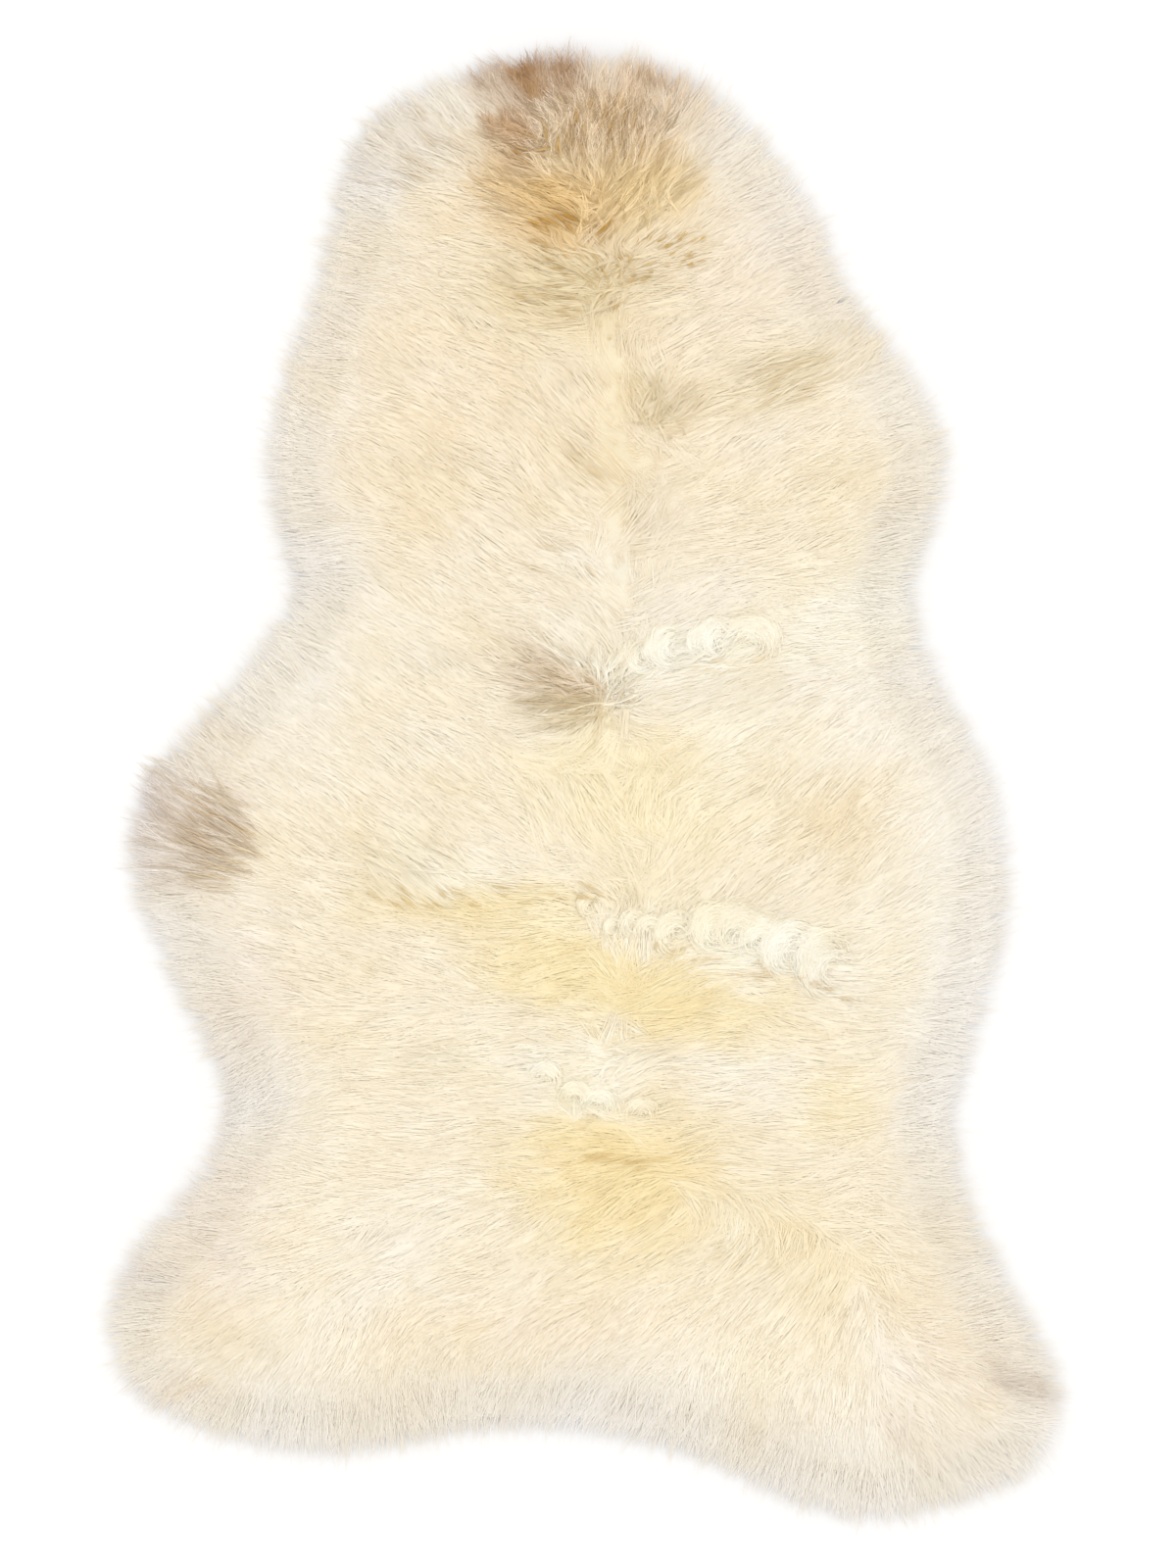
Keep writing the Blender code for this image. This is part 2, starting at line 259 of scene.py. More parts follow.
# Locks that show singly over the coat.
# name, across, along, half length, half width (mm), turn (degrees), locks, length, girth, wave (mm), contrast
GROUPS_MM = (
    ("crown", 12, 468, 52, 26, -4, 270, 58, 1.9, 4.4, 0.74),
    ("whorl", -36, 450, 28, 18, -20, 90, 36, 2.0, 3.4, 0.60),
    ("tuft", -38, 499, 36, 15, 12, 140, 34, 2.0, 2.6, 0.40),
    ("second tuft", 48, 496, 24, 12, -8, 50, 32, 2.2, 2.6, 0.45),
    ("neck tan", -16, 410, 48, 26, 0, 140, 40, 2.3, 1.6, 0.42),
    ("right of the neck", 42, 420, 26, 28, 0, 80, 38, 2.4, 1.8, 0.36),
    ("left shoulder top", -120, 446, 36, 30, 25, 60, 52, 2.6, 1.2, 0.14),
    ("withers", 0, 350, 56, 30, 0, 80, 36, 2.6, 1.6, 0.10),
    ("grey spot", 52, 262, 24, 16, 0, 40, 26, 2.2, 1.2, 0.16),
    ("elbow streak", 140, 285, 46, 20, 22, 34, 50, 2.4, 1.0, 0.12),
    ("hollow", -8, 64, 32, 20, -24, 150, 36, 1.6, 1.6, 0.30),
    ("bright tuft", 22, 74, 8, 12, 20, 30, 18, 1.4, 1.0, 0.03),
    ("flank", -267, -37, 42, 28, 100, 160, 56, 2.0, 1.2, 0.38),
    ("left sweep", -110, -58, 40, 12, -14, 46, 38, 3.0, 1.4, 0.06),
    ("loin ridge", 100, -108, 90, 10, -14, 70, 24, 3.2, 2.6, 0.06),
    ("collar ridge", 70, 90, 60, 10, 8, 50, 22, 3.0, 2.6, 0.06),
    ("centre band", -30, -196, 96, 16, 0, 56, 28, 3.2, 2.0, 0.06),
)
GROUP_PARTING = 0.30
GROUP_STRANDS = 10
# A lock's crown reaches this share of its girth from its middle, a little past its strands
GROUP_CROWN = 0.6
# A lock's mix lies between the deepest (-1) and this lightest, and its strands vary about it
LIGHTEST_MIX = 0.38
MIX_SPREAD = 0.25
# How strongly each channel follows a group's contrast
CONTRAST_TINT = (0.80, 1.0, 1.35)

# Rows of curls that lie on the coat.
# name, across and along of the first, the same of the last, curls, first and last radius (mm), start and
# sweep (degrees)
CURLS_MM = (
    ("collar", 36, 84, 98, 100, 5, 12, 20, 110, 150),
    ("collar end", 118, 96, 124, 94, 2, 17, 25, 130, -190),
    ("loin start", 12, -92, 64, -110, 5, 10, 14, 80, 190),
    ("loin", 88, -104, 176, -132, 6, 19, 23, 80, 170),
    ("tail", -30, -208, 34, -234, 4, 12, 14, 60, 170),
)
# How the curls of a row differ, in place, start (degrees), size and sweep
CURL_SHIFT_MM = 3.5
CURL_TURN = 22
CURL_SIZES = (0.7, 1.15)
CURL_SWEEPS = (0.7, 1.1)
# How a curl's strands differ, in centre (a share of its radius), start (degrees), sweep and height
CURL_STRANDS_EACH_MM = 13
CURL_WIDTH_MM = 0.42
CURL_STRAND_SHIFT = 0.1
CURL_STRAND_TURN = 30
CURL_STRAND_SWEEPS = (0.4, 1.0)
CURL_STRAND_LIFT = 0.2 * MM
# They close in on the curl's heart in ripples, over an arch that starts and ends a little way up
CURL_HEART = 0.02
CURL_CLOSING = 0.15
CURL_RIPPLE = 0.06
CURL_RIPPLE_TURNS = (9, 14)
CURL_RISE = 2.5 * MM
CURL_DOME = 1.3 * MM
CURL_ARCH = (0.15, 0.7)
CURL_EDGE = 0.3
# Their painted light and shade, in lighter and deeper rings between the arcs: how strong, how close (radians
# a metre) and how uneven
CURL_PAINTED_SHADING = 0.045
CURL_SHADING_RINGS = 1375
CURL_SHADING_SPREAD = 0.6

# Groups of creases where the wool parts. Each crease follows the flow.
# name, across, along, half length, half width (mm), turn (degrees), creases, and each crease's half length,
# half width (mm) and depth
CREASES_MM = (
    ("tan foot", -16, 386, 38, 12, 0, 18, 8, 0.8, 1.7),
    ("dimples", 54, 368, 34, 18, 10, 36, 3.5, 0.9, 1.7),
    ("withers", -5, 350, 46, 26, 0, 44, 5, 0.7, 1.3),
    ("whorl", -30, 446, 20, 12, 30, 14, 8, 0.8, 1.5),
    ("crown", 22, 462, 56, 24, -4, 34, 10, 0.7, 1.2),
    ("left shoulder top", -125, 445, 40, 30, 25, 14, 10, 0.8, 0.5),
    ("grey spot", 52, 252, 20, 9, 0, 8, 6, 0.9, 0.6),
    ("elbow streak", 140, 281, 36, 20, 20, 14, 12, 0.6, 0.8),
    ("parting", 12, 222, 24, 10, -20, 7, 9, 1.0, 0.6),
    ("girth", -5, 158, 42, 16, 0, 10, 8, 0.9, 0.6),
    ("hollow", -12, 60, 32, 20, -20, 22, 9, 0.5, 0.8),
    ("flank", -264, -38, 38, 28, 100, 44, 17, 0.6, 0.9),
    ("flank top", -260, 38, 12, 10, 0, 5, 5, 0.7, 0.5),
    ("left saddle", -62, -80, 88, 9, 2, 26, 8, 0.7, 1.2),
    ("loin", 112, -131, 78, 6, -16, 20, 6, 0.7, 1.0),
    ("collar", 90, 78, 40, 7, 15, 9, 6, 0.7, 0.8),
    ("tail", 24, -268, 34, 6, 0, 8, 10, 0.8, 1.2),
    ("thigh", 108, -330, 18, 12, 0, 6, 8, 0.9, 0.5),
    ("haunch", 160, -372, 30, 16, -20, 6, 8, 0.9, 0.4),
)
# Faint creases all over but near the rim: how many, their half length and half width (mm), and their depth
SMALL_CREASES = 600
SMALL_CREASE = (9, 0.7, 0.20)
SMALL_CREASE_MARGIN = 25.0 * MM
# How creases differ, in length, direction (degrees), width, bend and depth
CREASE_LENGTHS = (0.6, 1.3)
CREASE_TURN = 6
CREASE_WIDTHS = (0.7, 1.3)
CREASE_BEND = 0.1
CREASE_DEPTHS = (0.6, 1.1)
# The dent that a crease makes in the coat, the colour of the painted shade in a crease, and how far that
# painted shade reaches the strands there
CREASE_PITCH = 1.0 * MM
CREASE_DEPTH = 1.0 * MM
CREASE_BREADTH = 1.5
CREASE_SPARE_STEPS = 4
CREASE_SHADE_COLOUR = (0.75, 0.65, 0.48)
CREASE_SHADE = 0.6
# The dark strands that paint each crease's shade
MARK_SHARES = (0.0, 0.3, 0.7, 1.0)
MARK_WIDTH_MM = 0.5
MARK_SPACING = 0.35 * MM
MARK_LENGTHS = (0.5, 1.0)
MARK_SPREAD = 0.6
MARK_RISE = 0.4 * MM

# Kinds of strand. Shares run from a strand's root to its tip. Width, rise over the bed, how much that varies,
# and how far it may pass the skin's edge (least, most often, most) are in mm and spray in degrees. Least and
# stagger are shares of a strand's length.
Kind = namedtuple("Kind", "shares width rise uneven reach spray least stagger")
COAT = Kind((0.0, 0.40, 0.75, 1.0), 0.56, 1.9, 0.10, (6, 20, 34), 3, 0.70, 0.0)
RIM = Kind((0.0, 0.45, 0.86, 1.0), 0.36, 2.2, 0.3, (8, 30, 54), 8, 0.95, 0.0)
TOP = Kind((0.0, 0.16, 0.32, 0.48, 0.64, 0.80, 0.91, 1.0), 0.42, 3.7, 0.25, (14, 32, 46), 3, 0.70, 0.3)
COAT_STRANDS = 98000
COAT_BANDS = 4
COAT_LENGTH = 56.0 * MM
RIM_STRANDS = 34000
RIM_LENGTH = 92.0 * MM
# Strands sink by this distance past the skin's edge, to this share of their height
RIM_REACH = 44.0 * MM
LEAST_SETTLE = 0.06
LEAST_HEIGHT = 0.3 * MM

# Locks, and the steps of their centre lines
LOCK_PITCH = 9.0 * MM
LOCK_JITTER = 0.42
LOCK_SPARE = 1.6
LOCK_BACK_STEPS = 3
LOCK_AHEAD_STEPS = 7
LOCK_STEPS = LOCK_BACK_STEPS + LOCK_AHEAD_STEPS
# How locks differ, in the flow that they follow, direction (degrees), length, wave and phase (radians)
LOCK_WANDER = (11.0 * MM, 5.0 * MM)
LOCK_STRAY = 6.0
LOCK_LENGTHS = (0.8, 1.15)
LOCK_WAVES = (0.6, 1.3)
LOCK_PHASES = (2.5, 0.5)
# How far strands draw together, lie in layers, crown (mm) and stray in colour: in an even coat, and how much
# more as locks part
PINCH = (0.05, 0.75)
LAYER_MM = (0.05, 1.0)
CROWN_MM = (0.1, 1.6)
COLOUR_STRAY = (0.6, 2.4)
# How that changes from root to tip: powers of the share, and radians of wave and of frizz
PINCH_POWER = 1.2
CLIMB_POWER = 0.5
ROOT_POWER = 4
WAVE_TURN = 6.5
FRIZZ_TURN = 4.0
FRIZZ_PHASES = 6.3
FRIZZ = 0.6 * MM
LIFT_SHARE = 0.75
# The longest strand of a lock, and the shortest that a cut leaves
LONGEST = 1.12
SHORTEST = 0.12
# A flat strand's widths by share, how they vary, its turn about its length (radians), and its bake cell
TAPER = ((0.0, 0.8), (0.4, 1.0), (0.86, 0.75), (1.0, 0.1))
MARK_TAPER = ((0.0, 0.1), *TAPER[1:])
STRAND_WIDTHS = (0.65, 1.3)
STRAND_ROLL = 0.03
CELL_SIDES = [0.2, 0.8]
CELL_FOOT = 0.1
CELL_LENGTH = 0.8

# Skin, floor and light
SKIN_TONES = ((0.3, (196, 168, 132)), (0.7, (224, 202, 170)))
FLOOR_COLOUR = (0.86, 0.86, 0.87, 1)
FLOOR_REACH = 6.0
FLOOR_DROP = 0.2 * MM
SKY_COLOUR = (1.0, 0.986, 0.958, 1)
SUN_STRENGTH = 0.74
SUN_DEGREES = 50
SUN_DIRECTION = (0.12, 0.36, 1.0)

# The camera looks straight down, at the height where its frame takes in the whole rug
FRAME_HEIGHT = 1.112
FRAME_CENTRE = (0.0025, -0.0025)
FRAME_LEVEL = 8.0 * MM
LENS_MM = 85.0
SENSOR_MM = 36.0


class FloorMap:
    """Values at even places over the floor, read in between by blending the four nearest."""

    def __init__(self, values, pitch=MAP_PITCH):
        self.values = values
        self.pitch = pitch

    def at(self, places):
        """The values at an array of places."""
        rows, columns = self.values.shape[:2]
        across = np.clip((places[..., 0] + MAP_REACH[0]) / self.pitch, 0, columns - 1.001)
        along = np.clip((places[..., 1] + MAP_REACH[1]) / self.pitch, 0, rows - 1.001)
        column, row = across.astype(int), along.astype(int)
        right, up = across - column, along - row
        if self.values.ndim == 3:
            right, up = right[..., None], up[..., None]
        near = self.values[row, column] * (1 - right) + self.values[row, column + 1] * right
        far = self.values[row + 1, column] * (1 - right) + self.values[row + 1, column + 1] * right
        return near * (1 - up) + far * up


def map_places(pitch=MAP_PITCH):
    """Every place of a map, in rows and columns."""
    across = np.arange(-MAP_REACH[0], MAP_REACH[0], pitch)
    along = np.arange(-MAP_REACH[1], MAP_REACH[1], pitch)
    return np.stack(np.meshgrid(across, along), axis=-1)


def staggered_places(pitch):
    """Places all over the map in staggered rows."""
    places = map_places(pitch)
    places[1::2, :, 0] += 0.5 * pitch
    return places.reshape(-1, 2)


def raised(level, height):
    """Places in the plane, brought to a height for each or for all."""
    return np.concatenate([level, np.broadcast_to(height, level.shape[:-1])[..., None]], axis=-1)


def ramp(values, limits, most=1.0):
    """Nothing up to the first limit, and from there a rise to one at the second, or to the most."""
    return np.clip((values - limits[0]) / (limits[1] - limits[0]), 0, most)


def nearness(places, x, y, spread):
    """One at a spot given in mm, and less around it."""
    gap = np.linalg.norm(places - np.array((x, y)) * MM, axis=-1) / (spread * MM)
    return np.exp(-gap * gap)[..., None]


def grown(pair, parted):
    """The first value in an even coat, and more of the second as locks part."""
    return pair[0] + pair[1] * parted


def unit(vectors):
    """The vectors at length one."""
    return vectors / np.maximum(np.linalg.norm(vectors, axis=-1, keepdims=True), 1e-9)


def heading_vectors(degrees):
    """Unit vectors for headings."""
    angle = np.radians(degrees)
    return np.stack([np.cos(angle), np.sin(angle)], axis=-1)


def turned(vectors, degrees):
    """Plane vectors, turned to the left."""
    ahead, left = np.cos(np.radians(degrees)), np.sin(np.radians(degrees))
    x, y = vectors[..., 0], vectors[..., 1]
    return np.stack([x * ahead - y * left, x * left + y * ahead], axis=-1)


def soften(values, times):
    """Blend each value of a map with its neighbours."""
    for _ in range(times):
        for axis in (0, 1):
            values = 0.5 * values + 0.25 * (np.roll(values, 1, axis) + np.roll(values, -1, axis))
    return values


def cloud(times):
    """A map of smooth random values around nothing, with a spread of one."""
    values = soften(draws.normal(0, 1, map_places().shape[:2]), times)
    return FloorMap(values / values.std())


def skin_outline():
    """The skin's edge in order: the longest loop around the pelt's faces that lie on the floor."""
    mesh = PELT.data
    spots = [tuple(round(value, 5) for value in vert.co.xy) for vert in mesh.vertices]
    steps = set()
    for face in mesh.polygons:
        if max(mesh.vertices[corner].co.z for corner in face.vertices) < 0.1 * MM:
            corners = [spots[corner] for corner in face.vertices]
            steps.update(zip(corners, corners[1:] + corners[:1]))
    edge = {start: end for start, end in steps if (end, start) not in steps}
    longest = []
    while edge:
        loop = [min(edge)]
        while loop[-1] in edge:
            loop.append(edge.pop(loop[-1]))
        longest = max(longest, loop[:-1], key=len)
    return np.array(longest)


def enclosed_area(ring):
    """The area inside a ring of places, less than nothing when it runs clockwise."""
    ahead = np.roll(ring, -1, axis=0)
    return 0.5 * np.sum(ring[:, 0] * ahead[:, 1] - ahead[:, 0] * ring[:, 1])


def edge_distance(places, ring):
    """How far outside the ring each place is, or less than nothing inside it."""
    flat = places.reshape(-1, 2)
    nearest = np.full(len(flat), np.inf)
    inside = np.zeros(len(flat), bool)
    for start, end in zip(ring, np.roll(ring, -1, axis=0)):
        side = end - start
        share = np.clip(((flat - start) @ side) / (side @ side), 0, 1)
        nearest = np.minimum(nearest, np.linalg.norm(flat - start - share[:, None] * side, axis=1))
        crosses = (start[1] > flat[:, 1]) != (end[1] > flat[:, 1])
        meets = start[0] + side[0] * (flat[:, 1] - start[1]) / (side[1] or 1e-12)
        inside ^= crosses & (flat[:, 0] < meets)
    return np.where(inside, -nearest, nearest).reshape(places.shape[:-1])


def bed_heights(distances):
    """How high the bed is: a coat's depth under the pelt's own top, and down to the floor past its edge."""
    tree = BVHTree.FromPolygons(
        [vert.co for vert in PELT.data.vertices], [face.vertices[:] for face in PELT.data.polygons]
    )
    places = map_places()
    tops = EDGE_HEIGHT * np.sqrt(np.clip(1 - (distances / EDGE_FALL) ** 2, 0, 1))
    for index in zip(*np.nonzero(distances < 0)):
        tops[index] = tree.ray_cast(Vector((*places[index], 1.0)), Vector((0, 0, -1)))[0].z
    return np.clip(soften(tops, BED_SOFTENING) - COAT_DEPTH, 0, None)


def flow_vectors(distances):
    """Which way the wool lies at each place of a map."""
    places = map_places()
    table = np.array([row[1:] for row in PARTING_MM[::-1]], float)
    along = places[..., 1] / MM
    sway = DIVIDE_SWAY * cloud(DIVIDE_SOFTENING).values
    divide = np.interp(along, table[:, 0], table[:, 1]) * MM + sway
    left = heading_vectors(180 - np.interp(along, table[:, 0], table[:, 2]))
    right = heading_vectors(np.interp(along, table[:, 0], table[:, 3]))
    share = 0.5 + 0.5 * np.tanh((places[..., 0] - divide) / DIVIDE_WIDTH)[..., None]
    flow = left * (1 - share) + right * share
    for _, x, y, heading, spread in TURNS_MM:
        flow = flow + TURN_WEIGHT * nearness(places, x, y, spread) * heading_vectors(heading)
    for _, x, y, spread in SPRAYS_MM:
        away = unit(places - np.array((x, y)) * MM)
        flow = flow + TURN_WEIGHT * nearness(places, x, y, spread) * away
    outward = unit(np.stack(np.gradient(distances)[::-1], axis=-1))
    pull = ramp(distances, TURN_OUT, TURN_OUT_WEIGHT)[..., None]
    flow = unit(unit(flow) + outward * pull)
    return unit(turned(flow, DRIFT_DEGREES * cloud(DRIFT_SOFTENING).values))


def linear(colour):
    """A display colour as the linear values that shaders use."""
    return ((np.array(colour) / 255 + 0.055) / 1.055) ** 2.4


def wool_colour(colour):
    """The base colour of wool that looks like a display colour."""
    return linear(colour) ** ECHO


def patch_shares(places):
    """How much of each patch there is at each place, its rim made uneven."""
    uneven = np.stack([uneven_map.at(places) for uneven_map in uneven_maps], axis=-1)
    places = places + PATCH_UNEVENNESS * uneven
    for _, x, y, length, width, turn, colour, strength, parting, wave in PATCHES_MM:
        axis = heading_vectors(turn)
        off = places - np.array((x, y)) * MM
        along = off @ axis / (length * MM)
        across = off @ np.array((-axis[1], axis[0])) / (width * MM)
        share = np.exp(-((along**2 + across**2) ** PATCH_FIRMNESS))
        yield share, wool_colour(colour), strength, parting, wave


Looks = namedtuple("Looks", "colours bare parted wave")


def wool_looks(places):
    """The wool's colour at each place, how bare of patches it is, and how far its locks part and wave."""
    colours = np.tile(wool_colour(CREAM), (len(places), 1))
    bare = np.ones(len(places))
    parted = np.full(len(places), PLAIN_PARTING)
    wave = np.full(len(places), PLAIN_WAVE)
    for share, colour, strength, parting, waving in patch_shares(places):
        mix = (strength * share)[:, None]
        colours = colours * (1 - mix) + colour * mix
        bare = bare * (1 - PATCH_COVER * mix[:, 0])
        parted = parted + (parting - parted) * share
        wave = wave + (waving - wave) * share
    mottle = sum(part * mottle_map.at(places) for part, mottle_map in zip(MOTTLE_MIX, mottle_maps))
    return Looks(colours * (1 + mottle[:, None] * np.array(MOTTLE)), bare, parted, wave * MM)


def edge_shift(places, bare):
    """How far the wool's colour moves towards the rim's at each place."""
    share = ramp(distance_map.at(places), RIM_FADE)
    return (share * bare)[..., None] * (wool_colour(EDGE_CREAM) - wool_colour(CREAM))


def disc_places(count):
    """Random places in a disc of radius one."""
    angle = draws.uniform(0, 2 * math.pi, count)
    return np.sqrt(draws.uniform(0, 1, count))[:, None] * np.stack([np.cos(angle), np.sin(angle)], axis=-1)


def oval_places(x, y, length, width, turn, count):
    """Random places in an oval given in mm."""
    return (np.array((x, y)) + turned(disc_places(count) * (length, width), turn)) * MM


def find_creases():
    """A row for each crease: its centre, direction, half length, half width, bend, depth and rise."""
    groups = [(oval_places(*row[1:7]), row[7:], TOP.rise) for row in CREASES_MM]
    groups.append((scatter(SMALL_CREASES, -1.0, -SMALL_CREASE_MARGIN), SMALL_CREASE, COAT.rise))
    rows = []
    for centres, (reach, breadth, depth), rise in groups:
        count = len(centres)
        lengths = reach * MM * draws.uniform(*CREASE_LENGTHS, count)
        ways = turned(flow_map.at(centres), draws.normal(0, CREASE_TURN, count))
        widths = breadth * MM * draws.uniform(*CREASE_WIDTHS, count)
        bends = draws.normal(0, CREASE_BEND, count) / lengths
        depths = depth * draws.uniform(*CREASE_DEPTHS, count)
        rises = np.full(count, rise * MM)
        rows.append(np.column_stack([centres, ways, lengths, widths, bends, depths, rises]))
    return np.concatenate(rows)


def crease_values():
    """How deep the wool is creased at each place, from not at all (0) upwards."""
    places = map_places(CREASE_PITCH)
    values = np.zeros(places.shape[:2])
    for x, y, way_x, way_y, length, width, bend, depth, _ in creases:
        centre = np.array((x, y))
        column, row = ((centre + MAP_REACH) / CREASE_PITCH).astype(int)
        reach = int(length / CREASE_PITCH) + CREASE_SPARE_STEPS
        window = slice(row - reach, row + reach + 1), slice(column - reach, column + reach + 1)
        off = places[window] - centre
        along = off @ (way_x, way_y)
        across = off @ (-way_y, way_x) - bend * along**2
        dent = np.exp(-((across / (CREASE_BREADTH * width)) ** 2))
        value = dent * np.clip(1 - (along / length) ** 2, 0, 1)
        values[window] = np.maximum(values[window], value * depth)
    return values


def scatter(count, low, high):
    """Random places whose distance from the skin's edge lies between two limits."""
    found = np.zeros((0, 2))
    while len(found) < count:
        places = draws.uniform(-1, 1, (count * 2, 2)) * ROOTS_REACH
        gap = distance_map.at(places)
        found = np.concatenate([found, places[(gap > low) & (gap < high)]])
    return found[:count]


def walk(places, wander, stray, stride, steps, sense):
    """Paths along the flow (sense 1) or back against it (-1). A walk keeps on where the wool divides."""
    way = flow_map.at(places + wander)
    path = [places]
    for _ in range(steps):
        ahead = turned(flow_map.at(path[-1] + wander), stray)
        parts = np.sum(ahead * way, axis=1, keepdims=True) < 0
        way = unit(np.where(parts, way, ahead))
        path.append(path[-1] + sense * stride * way)
    return path


def lattice_middles(low):
    """Jittered middles for the coat's locks, from a distance past the skin's edge outwards."""
    middles = staggered_places(LOCK_PITCH)
    middles = middles + draws.uniform(-LOCK_JITTER, LOCK_JITTER, middles.shape) * LOCK_PITCH
    gap = distance_map.at(middles)
    return middles[(gap > low) & (gap < UNDERCOAT_OVERHANG)]


def make_locks(middles, length, girth, parted, wave):
    """Locks of wool about their middles: centre lines along the flow, and what sets each apart."""
    count = len(middles)
    stride = LOCK_SPARE * length / LOCK_STEPS
    stray = draws.normal(0, LOCK_STRAY, count) * (1 + parted)
    aside = draws.normal(0, 1, (count, 2)) * LOCK_WANDER
    back = walk(middles, aside, stray, stride, LOCK_BACK_STEPS, -1)
    ahead = walk(middles, aside, stray, stride, LOCK_AHEAD_STEPS, 1)
    return {
        "middles": middles,
        "stride": stride,
        "girth": girth,
        "path": np.stack(back[:0:-1] + ahead, axis=1),
        "parted": parted,
        "length": length * draws.uniform(*LOCK_LENGTHS, count),
        "layer": draws.uniform(-1.0, 1.0, count) * grown(LAYER_MM, parted) * MM,
        "warmth": draws.normal(0, 1, count),
        "wave": wave * draws.uniform(*LOCK_WAVES, count),
        # Neighbours wave nearly in step
        "phase": LOCK_PHASES[0] * phase_map.at(middles) + draws.normal(0, LOCK_PHASES[1], count),
    }


def nearest_locks(middles, locks):
    """The lock that each strand belongs to."""
    tree = KDTree(len(locks["middles"]))
    for index, (x, y) in enumerate(locks["middles"]):
        tree.insert((x, y, 0), index)
    tree.balance()
    return np.array([tree.find((x, y, 0))[1] for x, y in middles])


def notch_cuts(places):
    """How much shorter the rim's wool is at each place."""
    return sum(cut * MM * nearness(places, x, y, spread)[:, 0] for _, x, y, spread, cut in NOTCHES_MM)


def strand_reach(kind, lock, offset, locks):
    """Each strand's length, cut where it would pass the rim's reach, the furthest distance or a notch."""
    count = len(lock)
    reach = locks["length"][lock] * draws.uniform(kind.least, LONGEST, count)
    lines = locks["path"][lock]
    last = np.clip((reach / locks["stride"]).astype(int) + 1, 0, LOCK_STEPS)
    tips = lines[np.arange(count), last] + offset
    start_gap = distance_map.at(lines[:, 0] + offset)
    tip_gap = distance_map.at(tips)
    over = np.max(np.abs(tips) - FURTHEST, axis=1)
    caps = np.minimum(draws.triangular(*kind.reach, count) * MM, tip_gap - np.maximum(over, 0))
    caps = caps - notch_cuts(tips)
    fit = np.clip((caps - start_gap) / np.maximum(tip_gap - start_gap, 1 * MM), SHORTEST, 1)
    return np.where(tip_gap > caps, reach * fit, reach)


def comb(kind, lock, offset, locks):
    """The path of each strand of a lock, laid over the bed, and its sideways direction at each station."""
    count = len(lock)
    share = np.array(kind.shares)[None, :]
    lines = locks["path"][lock]
    reach = strand_reach(kind, lock, offset, locks)[:, None]
    start = draws.uniform(0, 1, (count, 1)) * kind.stagger
    travel = np.clip(reach * (share + start) / locks["stride"], 0, LOCK_STEPS - 0.001)
    step = travel.astype(int)
    part = (travel - step)[..., None]
    whole = np.arange(count)[:, None]
    here, after = lines[whole, step], lines[whole, step + 1]
    way = unit(after - here)
    side = np.stack([-way[..., 1], way[..., 0]], axis=-1)
    # Strands of a lock draw together towards its tip, and wave together
    parted = locks["parted"][lock][:, None]
    pinch = grown(PINCH, parted) * share**PINCH_POWER
    offset = offset[:, None, :] * (1 - pinch)[..., None]
    turns = (share + start) * WAVE_TURN + locks["phase"][lock][:, None]
    swing = locks["wave"][lock][:, None] * np.sin(turns)
    frizz = draws.normal(0, FRIZZ, (count, 1))
    frizz = frizz * np.sin(share * FRIZZ_TURN + draws.uniform(0, FRIZZ_PHASES, (count, 1)))
    stray = np.tan(np.radians(draws.normal(0, kind.spray, (count, 1)))) * reach * (share - 0.5)
    aside = ((swing + frizz) * share + stray)[..., None]
    level = here * (1 - part) + after * part + offset + side * aside
    # Each lock lies on those rooted ahead of it, so a strand climbs from its root to its tip
    width = np.linalg.norm(offset, axis=-1) / locks["girth"]
    settle = np.clip(1 - distance_map.at(level) / RIM_REACH, LEAST_SETTLE, 1)
    lift = draws.normal(0, kind.uneven * MM, (count, 1)) + locks["layer"][lock][:, None]
    lift = lift * np.sin(math.pi * np.clip(share, 0, LIFT_SHARE))
    crown = (1 - np.clip(width, 0, 1) ** 2) * grown(CROWN_MM, parted) * MM * share
    sunk = CREASE_DEPTH * crease_map.at(level)
    climb = kind.rise * MM * share**CLIMB_POWER + lift
    root = ROOT_DEPTH * (1 - share) ** ROOT_POWER
    height = bed_map.at(level) + settle * (climb + crown - sunk) - root
    return raised(level, np.maximum(height, LEAST_HEIGHT)), side


def strand_warmth(lock, locks):
    """How far each strand's colour strays, by its lock and by itself, and the more so where locks part."""
    stray = WARMTH_MIX[0] * locks["warmth"][lock] + WARMTH_MIX[1] * draws.normal(0, 1, len(lock))
    return stray * grown(COLOUR_STRAY, locks["parted"][lock])


def shaded(colours, bare, paths, shares, warmth):
    """Colours along each strand: strayed, with painted shade at the foot and in a crease, and moved towards
    the rim's.
    """
    own = colours * (1 + warmth[:, None] * np.array(WARMTH))
    # Painted shade: each strand's foot is deeper and warmer, where the strands above would shade it
    tone = np.stack([np.interp(shares, (0, FOOT_SHARE), (foot, 1.0)) for foot in FOOT_PAINTED_SHADE], axis=-1)
    # Painted shade in the creases, deeper and warmer where a crease is deeper
    crease = crease_map.at(paths[..., :2])[..., None]
    shade = 1 - CREASE_SHADE * crease * (1 - np.array(CREASE_SHADE_COLOUR))
    moved = own[:, None, :] + edge_shift(paths[..., :2], bare[:, None])
    return np.clip(moved * tone[None] * shade, 0, PALEST_STRAND)


